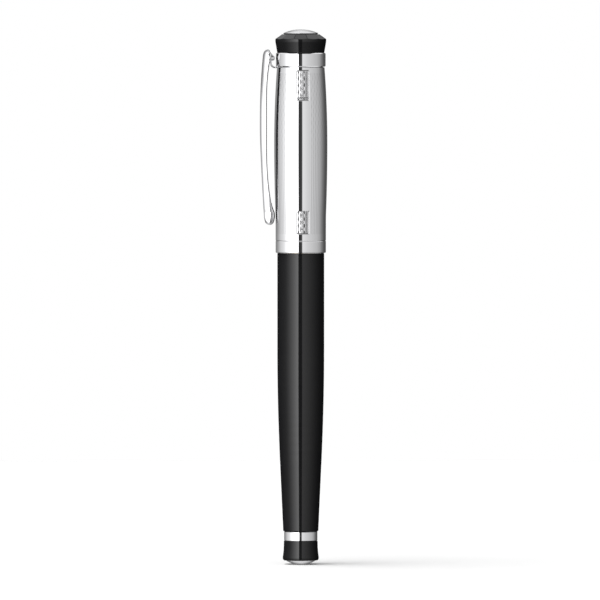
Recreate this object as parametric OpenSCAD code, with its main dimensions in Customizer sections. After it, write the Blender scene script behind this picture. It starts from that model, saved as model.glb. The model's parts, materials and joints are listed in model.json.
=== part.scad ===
// Capped rollerball pen, closed, standing on its tail.
// Z runs along the pen's axis from the tail (z = 0) to the crown. The clip is on the -X side.

/* [Barrel] */
// Radius of the straight part of the barrel
barrel_r = 6.04; // [5.95:0.01:6.15]
// Radius of the barrel's narrow end, above the tail ring
barrel_tail_r = 4.55; // [4.45:0.05:4.75]
// Height of the barrel's mouth above the tail
mouth_z = 80.35; // [80.0:0.05:81.0]
// Height of the barrel's narrow end above the tail
barrel_z = 8.5; // [8.4:0.05:8.6]

/* [Tail] */
// Widest radius of the flared tail piece
tail_r = 4.66; // [4.4:0.02:4.9]
// Radius of the bright ring above the tail piece
tail_ring_r = 4.31; // [4.1:0.01:4.45]

/* [Cap] */
// Radius of the cap's rim, below the swell
cap_r = 6.49; // [6.4:0.01:6.6]
// Radius of the cap at its widest, half way up
cap_mid_r = 6.86; // [6.7:0.01:7.1]
// Radius of the cap shell under the clip washer
cap_top_r = 6.15; // [6.1:0.01:6.3]
// Length of the cap shell, without its rim band
shell_len = 44.5; // [44.3:0.1:45.5]
// Radius of the ring under the crown
cap_ring_r = 6.41; // [6.2:0.01:6.6]

/* [Crown] */
// Widest radius of the crown
crown_r = 6.58; // [6.4:0.01:6.8]
// Number of flat facets around the crown's edge
facet_count = 12; // [8:1:16]
// Slope of the facets below the horizontal
facet_slope = 35; // [30:1:40]
// Angle by which the screwed-on crown stops short of the panels
crown_turn = -4.5; // [-15:0.5:15]

/* [Clip] */
// Width of the clip at its middle
clip_w = 3.0; // [2.8:0.1:3.2]
// Thickness of the clip's sheet metal
clip_wall = 0.5; // [0.4:0.05:0.6]
// Radius of the clip's pin
pin_r = 0.28; // [0.25:0.01:0.3]
// Gap between the clip's foot and the cap
foot_gap = 0.08; // [0.05:0.01:0.2]

/* [Refill] */
// Radius of the refill's tube
refill_r = 3.05; // [3.0:0.01:3.08]
// Length of the refill, with its tip
refill_len = 110.3; // [110.0:0.1:110.6]
// Radius of the writing ball
ball_r = 0.35; // [0.25:0.05:0.35]

/* [Thread] */
// Pitch of the thread between section and barrel
pitch = 1.0; // [0.8:0.1:1.0]
// Crest radius of the male thread
thread_r = 4.5; // [4.4:0.01:4.52]

/* [Hidden] */
$fn = 96;
// Small rounding on turned edges
edge = 0.25;
// Clearance between parts that turn or slide on each other
slip = 0.05;
// Extra length by which a cutter passes a face
over = 1;

// Tail
tail_flat_r = 1.6;
tail_dome_r = 3.9;
tail_dome_curve = 7.14;
tail_dome_h = dome_rise(tail_dome_curve, tail_dome_r) - dome_rise(tail_dome_curve, tail_flat_r);
tail_disc_h = 0.6;
tail_recess_z = tail_dome_h + tail_disc_h;
tail_piece_top = 6.05;
spigot_r = 3.0;
screw_head_r = 2.2;
screw_head_h = 1.4;
tail_screw_z = 2.0;
tail_screw_r = 1.25;
plug_r = 3.85;
plug_floor = 2.0;
plug_h = 4.0;

// Barrel
taper_z = 27;
taper_r = 5.38;
straight_z = 55;
wide_bore_z = 50;
plug_seat_z = barrel_z + plug_h + 2;
bush_r = 5.3;
bush_h = 9.35;
bush_z = mouth_z - bush_h;
thread_depth = 0.4;
thread_turns = 5;

// Refill
refill_z = 12.3;
stub_r = 1.9;
stub_len = 3.0;
flange_h = 0.8;
tube_z = refill_z + stub_len + flange_h;
tube_bore = 2.6;
refill_tip_z = refill_z + refill_len;
nose_len = 23.6;
tube_top = refill_tip_z - nose_len;
nose_r = 2.35;
nose_cone_z = tube_top + 13;
tip_r = 1.2;
tip_z = nose_cone_z - 1;
tip_len = 7.5;
tip_cone_z = tip_z + tip_len;
ball_z = refill_tip_z - ball_r;
socket_r = ball_r + 0.02;
rod_r = 0.5;
rod_bore = rod_r + slip;
rod_top_z = ball_z - 4.5;
filler_top = tube_top - 6;
wire_r = 0.25;
coil_r = 2.3;
coil_turns = 5;

// Section
ring_h = 1.8;
ring_z = mouth_z + slip;
section_z = ring_z + ring_h;
collar_r = 5.15;
collar_h = 8.4;
collar_top = section_z + collar_h;
section_len = 28.3;
section_top = section_z + section_len;
grip_end_r = 3.9;
snap_z = section_z + 6.8;
snap_wire_r = 0.35;
snap_coil_r = 5.0;
snap_slack = 0.03;
sleeve_r = 4.2;
sleeve_bore = 3.2;
sleeve_top = section_z + 5.9;
thread_low = mouth_z - 6.4;
nose_ring_z = section_top - 4;
nose_ring_r = 2.95;
nose_ring_top = section_top + 3;
nose_bore = nose_r + 0.1;

// Cap
cap_z = mouth_z + slip;
shell_z = cap_z + 3.1;
shell_top = shell_z + shell_len;
lip_top = shell_top + 0.26;
lip_r = 5.78;
seam_in = 0.12;
seam_h = 0.15;
shell_bore = 5.75;
band_r = 6.05;
band_bore = 5.65;
band_spigot_h = 3.0;
liner_z = shell_z + band_spigot_h;
liner_top = shell_top - 0.8;
liner_roof_z = liner_top - 1.2;
liner_bore = 5.45;
bolt_r = 1.45;
bolt_hole_r = 1.6;
bolt_head_r = 2.6;
bolt_head_h = 1.1;
washer_h = 0.3;
swell_low_z = shell_z + 6;
swell_z = shell_z + 25;
sheet = 0.4;
ring_bottom = shell_top + sheet;
ring_top = ring_bottom + 3.55;
bolt_top = ring_top + 1.8;
crown_spigot_r = 3.5;
crown_top = ring_top + 4.8;
crown_wide_z = crown_top - 1.6;
medallion_r = 4.3;
medallion_rim_r = 4.52;
medallion_curve = 10.9;
medallion_seat = crown_top - 0.6;

// Clip: its side outline is in X and Z, and its crowned face is turned about clip_x
clip_x = -8;
pin_x = -7.38;
pin_z = shell_top + 2.6;
eye_r = 0.575;
eye_w = 1.6;
lug_r = 0.62;
channel_w = 1.7;
lug_w = 2.8;
foot_w = 2.3;
clip_tip_z = shell_z + 4.0;
foot_z = shell_z + 6.8;
swell_drop = (swell_z - foot_z) / (swell_z - swell_low_z);
foot_x = -(cap_mid_r - (cap_mid_r - cap_r) * swell_drop * swell_drop) - foot_gap - 0.1;
clip_top_z = pin_z + 2.34;

// Points on the curve that leaves p towards corner and arrives at q from it
function curve(p, corner, q, steps = 6) =
    [for (i = [0:steps]) let (t = i / steps) p * (1 - t) * (1 - t) + corner * 2 * t * (1 - t) + q * t * t];

// Height lost by a dome of radius size at the distance r from its axis
function dome_rise(size, r) = size - sqrt(size * size - r * r);

// Outline of a dome between two radii; its height falls as r grows where up is 1
function dome(size, r_in, r_out, z_in, up, steps = 8) =
    [for (i = [0:steps]) let (r = r_in + (r_out - r_in) * i / steps)
        [r, z_in - up * (dome_rise(size, r) - dome_rise(size, r_in))]];

// Ridges of a thread from z upwards, between its root and crest radii
function ridges(root, crest, z, turns) =
    [for (i = [0:turns - 1]) let (low = z + i * pitch)
        each [[root, low + 0.1 * pitch], [crest, low + 0.4 * pitch],
            [crest, low + 0.6 * pitch], [root, low + 0.9 * pitch]]];

function reversed(points) = [for (i = [len(points) - 1:-1:0]) points[i]];

// Solid turned about the pen's axis from radius and height points
module lathe(points) {
    rotate_extrude() polygon(points);
}

// Round bar from z0 to z1, with a bore where one is given
module bar(r, z0, z1, bore = 0) {
    translate([0, 0, z0]) difference() {
        cylinder(r = r, h = z1 - z0);
        if (bore > 0) translate([0, 0, -over]) cylinder(r = bore, h = z1 - z0 + 2 * over);
    }
}

// Flat plate across the clip: its outline is in X and Z, and it is centred on the clip's width
module plate(width) {
    rotate([90, 0, 0]) linear_extrude(height = width, center = true) children();
}

// Barrel -----------------------------------------------------------------------------------

module barrel_tube() {
    taper_rise = (barrel_r - taper_r) * (taper_z - barrel_z) / (taper_r - barrel_tail_r);
    color([0.06, 0.06, 0.065]) lathe(concat(
        [[plug_r, barrel_z]],
        curve([barrel_tail_r - edge, barrel_z], [barrel_tail_r, barrel_z],
            [barrel_tail_r, barrel_z + edge], 3),
        curve([taper_r, taper_z], [barrel_r, taper_z + taper_rise], [barrel_r, straight_z], 12),
        [[barrel_r, mouth_z - 0.1], [barrel_r - 0.1, mouth_z], [bush_r, mouth_z]],
        [[bush_r, wide_bore_z], [plug_r, plug_seat_z]]));
}

// Brass bush pressed in the barrel's mouth, with the female thread
module barrel_bush() {
    bore = thread_r + slip;
    root = bore + thread_depth;
    color([0.80, 0.62, 0.30]) lathe(concat(
        [[bush_r, bush_z], [bush_r, mouth_z], [root, mouth_z], [bore, mouth_z - thread_depth]],
        reversed(ridges(bore, root, mouth_z - 1 - thread_turns * pitch, thread_turns)),
        [[bore, bush_z]]));
}

module tail_ring() {
    round_edge = 0.15;
    color([0.86, 0.86, 0.88]) lathe([
        [spigot_r, tail_piece_top], [tail_ring_r - round_edge, tail_piece_top],
        [tail_ring_r, tail_piece_top + round_edge], [tail_ring_r, barrel_z - round_edge],
        [tail_ring_r - round_edge, barrel_z], [spigot_r, barrel_z]]);
}

module tail_piece() {
    waist_r = 4.36;
    head_room = 0.2;
    spigot_top = barrel_z - 0.2;
    rim_r = tail_dome_r + 0.03;
    color([0.06, 0.06, 0.065]) difference() {
        lathe(concat(
            [[0, tail_dome_h], [tail_r - 0.6, tail_dome_h]],
            curve([tail_r - 0.5, tail_dome_h], [tail_r, tail_dome_h], [tail_r, tail_dome_h + 0.7], 5),
            curve([tail_r, tail_dome_h + 0.8], [waist_r, tail_dome_h + 2.6], [waist_r, tail_piece_top], 8),
            [[spigot_r, tail_piece_top], [spigot_r, spigot_top], [0, spigot_top]]));
        bar(rim_r, tail_dome_h - over, tail_recess_z);
        bar(screw_head_r + head_room, 0, tail_screw_z + screw_head_h);
        bar(tail_screw_r + slip, 0, barrel_z + over);
    }
}

// Silver dome that covers the tail screw; its middle is flat and is the pen's foot
module tail_medallion() {
    color([0.78, 0.78, 0.80]) lathe(concat(
        [[0, 0]],
        dome(tail_dome_curve, tail_flat_r, tail_dome_r, 0, -1),
        [[tail_dome_r, tail_recess_z], [0, tail_recess_z]]));
}

module tail_screw() {
    slot_w = 0.6;
    slot_depth = 0.6;
    head_top = tail_screw_z + screw_head_h;
    color([0.62, 0.62, 0.64]) difference() {
        union() {
            bar(screw_head_r, tail_screw_z, head_top);
            bar(tail_screw_r, head_top, barrel_z + plug_floor);
        }
        translate([-screw_head_r - over, -slot_w / 2, tail_screw_z - over])
            cube([2 * (screw_head_r + over), slot_w, slot_depth + over]);
    }
}

module tail_plug() {
    seat_r = 2.9;
    color([0.80, 0.62, 0.30]) difference() {
        bar(plug_r, barrel_z, barrel_z + plug_h, tail_screw_r);
        bar(seat_r, barrel_z + plug_floor, barrel_z + plug_h + over);
    }
}

// Coil spring between the plug and the refill's flange, swept along its helix
module refill_spring() {
    sides = 8;
    steps = coil_turns * 16;
    low = barrel_z + plug_floor + wire_r;
    rise = refill_z + stub_len - 0.02 - wire_r - low;
    rings = [for (i = [0:steps]) let (a = 360 * coil_turns * i / steps)
        [for (j = [0:sides - 1]) let (b = 360 * j / sides, r = coil_r + wire_r * cos(b))
            [r * cos(a), r * sin(a), low + rise * i / steps + wire_r * sin(b)]]];
    walls = [for (i = [0:steps - 1], j = [0:sides - 1]) let (k = (j + 1) % sides)
        each [[i * sides + j, (i + 1) * sides + j, (i + 1) * sides + k],
            [i * sides + j, (i + 1) * sides + k, i * sides + k]]];
    start = [for (j = [0:sides - 1]) j];
    end = [for (j = [sides - 1:-1:0]) steps * sides + j];
    color([0.70, 0.70, 0.72]) polyhedron(points = [for (ring = rings) each ring],
        faces = concat(walls, [start, end]));
}

// Refill -----------------------------------------------------------------------------------

module refill_end_plug() {
    plug_top = tube_z + 2.9;
    color([0.15, 0.15, 0.16]) lathe([
        [0, refill_z], [stub_r - 0.3, refill_z], [stub_r, refill_z + 0.3],
        [stub_r, refill_z + stub_len], [refill_r, refill_z + stub_len], [refill_r, tube_z],
        [tube_bore, tube_z], [tube_bore, plug_top], [0, plug_top]]);
}

module refill_tube() {
    color([0.72, 0.73, 0.75]) bar(refill_r, tube_z, tube_top, tube_bore);
}

module refill_filler() {
    filler_r = tube_bore - slip;
    rod_depth = 3;
    color([0.20, 0.22, 0.35]) difference() {
        bar(filler_r, tube_z + 3, filler_top);
        bar(rod_r, filler_top - rod_depth, tube_top);
    }
}

module refill_feed_rod() {
    rod_depth = 3;
    color([0.88, 0.86, 0.80]) bar(rod_r, filler_top - rod_depth, rod_top_z);
}

module refill_nose() {
    plug_in_r = tube_bore - 0.02;
    plug_in_z = tube_top - 4;
    cone_r = 1.65;
    nose_top = nose_cone_z + 1.2;
    color([0.15, 0.15, 0.16]) lathe([
        [rod_bore, plug_in_z], [plug_in_r, plug_in_z], [plug_in_r, tube_top],
        [nose_r, tube_top], [nose_r, nose_cone_z], [cone_r, nose_top],
        [tip_r, nose_top], [tip_r, tip_z], [rod_bore, tip_z]]);
}

module refill_tip() {
    mouth_r = ball_r + 0.07;
    mouth_top = ball_z + 0.05;
    ink_hole_r = 0.15;
    color([0.75, 0.74, 0.70]) difference() {
        lathe([[0, tip_z], [tip_r, tip_z], [tip_r, tip_cone_z], [mouth_r, mouth_top], [0, mouth_top]]);
        bar(rod_bore, tip_z - over, rod_top_z);
        bar(ink_hole_r, tip_z, ball_z);
        translate([0, 0, ball_z]) sphere(r = socket_r, $fn = 32);
    }
}

module tip_ball() {
    color([0.45, 0.45, 0.47]) translate([0, 0, ball_z]) rotate([0, 90, 0]) sphere(r = ball_r, $fn = 32);
}

// Section ----------------------------------------------------------------------------------

// Loose trim ring between the barrel's mouth and the section
module section_ring() {
    ring_r = 5.55;
    color([0.86, 0.86, 0.88]) lathe([
        [thread_r + slip, ring_z], [ring_r - 0.2, ring_z], [ring_r, ring_z + 0.2],
        [ring_r, section_z - 0.2 - slip], [ring_r - 0.2, section_z - slip],
        [thread_r + slip, section_z - slip]]);
}

module grip_section() {
    groove_floor = snap_coil_r - snap_wire_r;
    groove_half = snap_wire_r + snap_slack;
    refill_bore = refill_r + 0.07;
    shoulder_z = tube_top + 0.1;
    color([0.07, 0.07, 0.075]) lathe(concat(
        [[sleeve_r, section_z], [collar_r - edge, section_z], [collar_r, section_z + edge]],
        [[collar_r, snap_z - groove_half], [groove_floor, snap_z - groove_half]],
        [[groove_floor, snap_z + groove_half], [collar_r, snap_z + groove_half]],
        [[collar_r, collar_top]],
        curve([collar_r - 0.2, collar_top + 0.4], [4.3, collar_top + 10], [grip_end_r, section_top], 10),
        [[nose_ring_r, section_top], [nose_ring_r, nose_ring_z], [nose_bore, nose_ring_z]],
        [[nose_bore, shoulder_z], [refill_bore, shoulder_z]],
        [[refill_bore, sleeve_top], [sleeve_r, sleeve_top]]));
}

// Brass sleeve pressed in the section, with the male thread that enters the barrel
module thread_sleeve() {
    root = thread_r - thread_depth;
    color([0.80, 0.62, 0.30]) lathe(concat(
        [[sleeve_bore, thread_low], [root, thread_low]],
        ridges(root, thread_r, thread_low, thread_turns),
        [[root, ring_z - 0.8], [thread_r, ring_z - 0.4], [thread_r, section_z]],
        [[sleeve_r, section_z], [sleeve_r, sleeve_top], [sleeve_bore, sleeve_top]]));
}

module nose_ring() {
    mouth_r = 1.75;
    cone_z = nose_cone_z + 0.15;
    color([0.86, 0.86, 0.88]) lathe([
        [nose_bore, nose_ring_z], [nose_ring_r, nose_ring_z], [nose_ring_r, section_top],
        [grip_end_r, section_top], [grip_end_r, section_top + 0.4],
        [2.65, nose_ring_top - 0.15], [2.45, nose_ring_top], [mouth_r, nose_ring_top],
        [mouth_r, cone_z + 1.15], [nose_bore, cone_z]]);
}

// Split wire ring that the inner cap's bead snaps over
module snap_ring() {
    split_w = 1.2;
    color([0.72, 0.72, 0.74]) difference() {
        translate([0, 0, snap_z]) rotate_extrude()
            translate([snap_coil_r, 0]) circle(r = snap_wire_r, $fn = 32);
        translate([0, -split_w / 2, snap_z - over]) cube([2 * snap_coil_r, split_w, 2 * over]);
    }
}

// Cap --------------------------------------------------------------------------------------

module cap_shell() {
    blend_z = shell_z + 6.5;
    blend_r = cap_mid_r - (cap_mid_r - cap_r) * pow((swell_z - blend_z) / (swell_z - swell_low_z), 2);
    lower = [for (i = [0:9]) let (z = blend_z + (swell_z - blend_z) * i / 9)
        [cap_mid_r - (cap_mid_r - blend_r) * pow((swell_z - z) / (swell_z - blend_z), 2), z]];
    upper = [for (i = [1:11]) let (z = swell_z + (shell_top - swell_z) * i / 11)
        [cap_mid_r - (cap_mid_r - cap_top_r) * pow((z - swell_z) / (shell_top - swell_z), 2), z]];
    color([0.88, 0.88, 0.90]) difference() {
        lathe(concat(
            [[0, shell_z], [cap_r - seam_in, shell_z], [cap_r, shell_z + seam_h]],
            curve([cap_r, shell_z + 3], [cap_r, shell_z + 5.1], [blend_r, blend_z], 4),
            lower,
            upper,
            [[cap_top_r, lip_top - seam_in], [cap_top_r - seam_in, lip_top], [lip_r, lip_top]],
            [[lip_r, shell_top], [0, shell_top]]));
        translate([-2 * lip_r, -eye_w / 2 - slip, shell_top])
            cube([2 * lip_r, eye_w + 2 * slip, over]);
        bar(band_r, shell_z - over, liner_z);
        bar(shell_bore, shell_z, liner_top);
        bar(bolt_hole_r, shell_z, shell_top + over);
    }
}

// Bright ring at the cap's rim, with a spigot pressed into the shell
module cap_band() {
    color([0.88, 0.88, 0.90]) lathe(concat(
        [[band_bore, cap_z + seam_h], [band_bore + seam_h, cap_z]],
        curve([cap_r - edge, cap_z], [cap_r, cap_z], [cap_r, cap_z + edge], 3),
        [[cap_r, shell_z - seam_h], [cap_r - seam_in, shell_z], [band_r, shell_z]],
        [[band_r, liner_z], [band_bore, liner_z]]));
}

// Moulded liner: it seals the tip and has the bead that snaps over the section's ring
module inner_cap() {
    bead_r = snap_coil_r + snap_wire_r + snap_slack;
    bead_z = snap_z - 1.7;
    nose_room_z = section_top + 1;
    tip_bore = 3.2;
    tip_wall_r = 3.9;
    relief_r = bead_r + 0.17;
    hood_r = 4.6;
    web_r = 5.2;
    web_z = nose_room_z + 4.5;
    color([0.20, 0.20, 0.21]) lathe([
        [bead_r + 0.2, liner_z], [bead_r, bead_z], [bead_r, bead_z + 0.9],
        [relief_r, bead_z + 1.2], [relief_r, bead_z + 2.3], [liner_bore, bead_z + 2.6],
        [liner_bore, nose_room_z - 7.5], [hood_r, nose_room_z - 3.5], [hood_r, nose_room_z],
        [tip_bore, nose_room_z + 2.5], [tip_bore, liner_roof_z], [bolt_hole_r, liner_roof_z],
        [bolt_hole_r, liner_top], [tip_wall_r, liner_top], [tip_wall_r, web_z],
        [web_r, web_z], [web_r, liner_top], [shell_bore, liner_top], [shell_bore, liner_z]]);
}

module screw_washer() {
    washer_r = 2.9;
    washer_z = liner_roof_z - washer_h;
    color([0.70, 0.70, 0.72]) bar(washer_r, washer_z, washer_z + washer_h, bolt_hole_r);
}

// Screw that clamps inner cap, shell, clip washer and ring against the crown
module cap_screw() {
    head_top = liner_roof_z - washer_h;
    slot_w = 0.7;
    slot_depth = 0.5;
    color([0.62, 0.62, 0.64]) difference() {
        union() {
            bar(bolt_head_r, head_top - bolt_head_h, head_top);
            bar(bolt_r, head_top, bolt_top);
        }
        translate([-bolt_head_r - over, -slot_w / 2, head_top - bolt_head_h - over])
            cube([2 * (bolt_head_r + over), slot_w, slot_depth + over]);
    }
}

// Sheet washer under the cap ring; its tongue bends up and rolls around the clip's pin
module clip_bracket() {
    washer_r = 5.7;
    outer_x = pin_x - eye_r;
    bend_r = 1.35;
    bend_x = outer_x + bend_r;
    bend_z = shell_top + bend_r;
    color([0.84, 0.84, 0.86]) difference() {
        union() {
            bar(washer_r, shell_top, ring_bottom);
            translate([bend_x, -eye_w / 2, shell_top]) cube([-bend_x, eye_w, sheet]);
            plate(eye_w) difference() {
                translate([bend_x, bend_z]) circle(r = bend_r);
                translate([bend_x, bend_z]) circle(r = bend_r - sheet);
                translate([bend_x, shell_top - over]) square([2 * bend_r, 3 * bend_r]);
                translate([outer_x - over, bend_z]) square([2 * bend_r + over, 2 * bend_r]);
            }
            plate(eye_w) translate([outer_x, bend_z]) square([sheet, pin_z - bend_z]);
            translate([pin_x, eye_w / 2, pin_z]) rotate([90, 0, 0]) cylinder(r = eye_r, h = eye_w);
        }
        bar(bolt_hole_r, shell_top - over, ring_bottom + over);
        translate([pin_x, eye_w / 2 + over, pin_z]) rotate([90, 0, 0])
            cylinder(r = pin_r + 0.03, h = eye_w + 2 * over);
    }
}

module cap_ring() {
    round_edge = 0.2;
    color([0.88, 0.88, 0.90]) lathe(concat(
        [[crown_spigot_r, ring_bottom], [cap_ring_r - round_edge, ring_bottom]],
        [[cap_ring_r, ring_bottom + round_edge], [cap_ring_r, ring_top - round_edge]],
        [[cap_ring_r - round_edge, ring_top], [crown_spigot_r, ring_top]]));
}

// Black end of the cap: a round flare cut by a ring of flat facets
module crown() {
    foot_r = 6.07;
    facet_in_r = 4.81;
    cutter = 8;
    color([0.06, 0.06, 0.065]) difference() {
        lathe(concat(
            [[0, ring_bottom], [crown_spigot_r, ring_bottom], [crown_spigot_r, ring_top]],
            [[foot_r, ring_top]],
            curve([crown_r - 0.02, crown_wide_z - 0.3], [crown_r, crown_wide_z],
                [crown_r - 0.03, crown_top - 1.15], 4),
            [[crown_r - 0.2, crown_top], [0, crown_top]]));
        for (i = [0:facet_count - 1])
            rotate([0, 0, crown_turn - 90 + i * 360 / facet_count])
                translate([facet_in_r, 0, crown_top]) rotate([0, facet_slope, 0])
                    translate([-over, -cutter / 2, 0]) cube([cutter, cutter, cutter]);
        bar(bolt_r, ring_bottom - over, bolt_top + 0.4);
        bar(medallion_r + 0.03, medallion_seat, crown_top + over);
    }
}

module crown_medallion() {
    rim_z = crown_top + 0.35;
    dome_in = 4.4;
    overhang = medallion_rim_r - medallion_r;
    apex_z = rim_z + dome_rise(medallion_curve, dome_in);
    color([0.78, 0.78, 0.80]) lathe(concat(
        [[0, medallion_seat], [medallion_r, medallion_seat], [medallion_r, rim_z - 0.1 - overhang]],
        [[medallion_rim_r, rim_z - 0.1], [medallion_rim_r, rim_z - 0.06]],
        [[medallion_rim_r - 0.06, rim_z]],
        reversed(dome(medallion_curve, 0, dome_in, apex_z, 1, 10))));
}

// Clip -------------------------------------------------------------------------------------

// Distance of the clip's crowned face from clip_x, with its height, from the tip to the head
clip_face = concat(
    curve([0, clip_tip_z], [1.3, clip_tip_z], [1.53, clip_tip_z + 2.1], 5),
    curve([1.58, clip_tip_z + 3], [2.57, clip_tip_z + 20.0], [2.57, clip_tip_z + 25.0], 9),
    curve([2.57, pin_z - 16], [2.57, pin_z - 7.4], [1.83, pin_z + 0.2], 9),
    curve([1.78, pin_z + 0.7], [1.5, clip_top_z], [0.5, clip_top_z], 5));

// Side of the clip that faces the cap, from the foot's tip to the head
clip_inside = concat(
    curve([-7.3, clip_tip_z], [foot_x + 0.1, clip_tip_z + 1.4], [foot_x, foot_z], 4),
    curve([foot_x - 0.05, foot_z + 0.5], [-8.7, foot_z + 4.6], [-8.86, foot_z + 17.5], 10),
    curve([-8.86, pin_z - 12], [-8.86, pin_z - 5.5], [-8.1, pin_z - 1.3], 8));

module clip_arm() {
    slot_face = [for (p = clip_face) if (p[1] > foot_z + 3 && p[1] < clip_top_z - 0.6)
        [clip_x - p[0] + clip_wall, p[1]]];
    lug = [[clip_x - 1.2, pin_z - 1.9], [-8.1, pin_z - 1.3], [-7.7, pin_z - 0.53],
        [pin_x, pin_z], [pin_x + lug_r, pin_z], [-7.3, pin_z + 1.4], [-7.7, clip_top_z],
        [clip_x - 1.2, clip_top_z]];
    color([0.88, 0.88, 0.90]) difference() {
        intersection() {
            translate([clip_x, 0, 0]) rotate_extrude()
                polygon(concat(clip_face, [[0, clip_top_z]]));
            plate(2 * clip_w) union() {
                polygon(concat(clip_inside, [[-12, pin_z - 1.3], [-12, clip_tip_z]]));
                polygon([[-12, pin_z - 1.4], [-8.0, pin_z - 1.4], [-8.0, clip_top_z], [-12, clip_top_z]]);
                polygon(lug);
                translate([pin_x, pin_z]) circle(r = lug_r);
            }
            rotate([90, 0, 90]) linear_extrude(height = 30, center = true) polygon([
                [-foot_w / 2, clip_tip_z], [foot_w / 2, clip_tip_z],
                [clip_w / 2, pin_z - 18], [clip_w / 2, pin_z - 8], [lug_w / 2, pin_z - 1],
                [lug_w / 2, clip_top_z], [-lug_w / 2, clip_top_z], [-lug_w / 2, pin_z - 1],
                [-clip_w / 2, pin_z - 8], [-clip_w / 2, pin_z - 18]]);
        }
        plate(channel_w) polygon(concat([[-5, foot_z + 3]], slot_face, [[-5, clip_top_z - 0.6]]));
        translate([pin_x, clip_w, pin_z]) rotate([90, 0, 0]) cylinder(r = pin_r, h = 2 * clip_w);
    }
}

module clip_pin() {
    color([0.80, 0.80, 0.82]) translate([pin_x, lug_w / 2, pin_z]) rotate([90, 0, 0])
        cylinder(r = pin_r, h = lug_w);
}

barrel_tube();
barrel_bush();
tail_ring();
tail_piece();
tail_medallion();
tail_screw();
tail_plug();
refill_spring();
refill_tube();
refill_filler();
refill_feed_rod();
refill_nose();
refill_tip();
refill_end_plug();
tip_ball();
section_ring();
grip_section();
thread_sleeve();
nose_ring();
snap_ring();
cap_shell();
cap_band();
inner_cap();
cap_screw();
screw_washer();
clip_bracket();
cap_ring();
crown();
crown_medallion();
clip_arm();
clip_pin();
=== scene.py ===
"""Looks of the capped rollerball pen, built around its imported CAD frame.

Lengths in the outlines are millimetres in the frame's axes; MM turns them into metres.
"""

import json
import math

import bmesh
import bpy
import numpy as np
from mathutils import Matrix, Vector


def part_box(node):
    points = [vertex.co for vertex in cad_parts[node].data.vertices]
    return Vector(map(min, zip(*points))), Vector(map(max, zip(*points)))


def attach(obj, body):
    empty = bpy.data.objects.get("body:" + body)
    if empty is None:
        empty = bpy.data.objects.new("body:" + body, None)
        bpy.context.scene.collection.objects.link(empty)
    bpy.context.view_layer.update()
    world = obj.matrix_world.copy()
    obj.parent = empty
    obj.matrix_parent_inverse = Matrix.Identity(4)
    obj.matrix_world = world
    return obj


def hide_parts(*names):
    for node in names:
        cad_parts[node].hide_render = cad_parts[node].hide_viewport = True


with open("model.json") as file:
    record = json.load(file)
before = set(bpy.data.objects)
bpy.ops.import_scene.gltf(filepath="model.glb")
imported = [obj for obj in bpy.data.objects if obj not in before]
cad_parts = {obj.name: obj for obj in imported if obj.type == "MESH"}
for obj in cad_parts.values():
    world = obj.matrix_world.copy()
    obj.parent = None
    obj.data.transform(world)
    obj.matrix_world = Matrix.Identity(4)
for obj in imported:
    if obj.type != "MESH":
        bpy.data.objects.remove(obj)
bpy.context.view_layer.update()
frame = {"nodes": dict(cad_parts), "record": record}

MM = 0.001
scene = bpy.context.scene


# Node trees -----------------------------------------------------------------------------


class Tree:
    """Short calls for building a node tree."""

    def __init__(self, tree):
        self.tree = tree
        tree.nodes.clear()

    def add(self, kind, inputs=(), out=0, **settings):
        """Adds a node, sets or links its inputs, and returns one of its outputs, if it has any."""
        node = self.tree.nodes.new("ShaderNode" + kind)
        for name, value in settings.items():
            setattr(node, name, value)
        for name, value in dict(inputs).items():
            if isinstance(value, bpy.types.NodeSocket):
                self.tree.links.new(value, node.inputs[name])
            else:
                node.inputs[name].default_value = value
        return node.outputs[out] if len(node.outputs) else None

    def math(self, operation, a, b=0.0, c=0.0):
        return self.add("Math", {0: a, 1: b, 2: c}, operation=operation)

    def span(self, value, low, high, to_low, to_high, smooth=False):
        """Maps a value's span from low to high onto another span."""
        return self.add(
            "MapRange",
            {"Value": value, "From Min": low, "From Max": high,
             "To Min": to_low, "To Max": to_high},
            interpolation_type="SMOOTHSTEP" if smooth else "LINEAR",
        )

    def spread(self, noise, to_low, to_high):
        """Maps the span in which nearly all of a noise lies onto another span."""
        return self.span(noise, 0.3, 0.7, to_low, to_high)

    def places(self, stretch=(1, 1, 1)):
        """The surface's own coordinates in metres, stretched along each axis."""
        coords = self.add("TexCoord", out="Object")
        return self.add("Mapping", {"Vector": coords, "Scale": stretch})

    def noise(self, scale, detail, stretch=(1, 1, 1)):
        inputs = {"Vector": self.places(stretch), "Scale": scale, "Detail": detail}
        return self.add("TexNoise", inputs)

    def bump(self, height, distance):
        return self.add("Bump", {"Height": height, "Distance": distance})

    def between(self, amount, low, high):
        """A number between two others."""
        return self.add("Mix", {"Factor": amount, "A": low, "B": high}, data_type="FLOAT")

    def tint(self, amount, low, high):
        """A colour between two others, which are three numbers or a socket each."""
        low, high = (c if isinstance(c, bpy.types.NodeSocket) else (*c, 1) for c in (low, high))
        return self.add("Mix", {"Factor": amount, "A": low, "B": high}, out=2, data_type="RGBA")

    def dull_and_shade(self):
        """The mesh's attribute for dull, shaded places: 0 where it is polished, 1 where it is dull
        and painted dark as shade.
        """
        return self.add("Attribute", out="Fac", attribute_name="dull_and_shade")


def surface(name, build):
    """A material whose shader takes the inputs that build makes for it."""
    material = bpy.data.materials.new(name)
    material.use_nodes = True
    tree = Tree(material.node_tree)
    shader = tree.add("BsdfPrincipled", build(tree))
    tree.add("OutputMaterial", {"Surface": shader})
    return material


# Metals ---------------------------------------------------------------------------------

PLATING_ROUGHNESS = 0.035
DULL_ROUGHNESS = 0.4
# Painted shade: the plating's dark colour in cuts, hollows and under parts, where it is also
# rougher
DULL_SHADED_PLATING = (0.1, 0.1, 0.102)
# Painted shade: the silver's colour in the undercut below the medallion's rim
SHADED_SILVER = (0.02, 0.02, 0.021)


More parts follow.
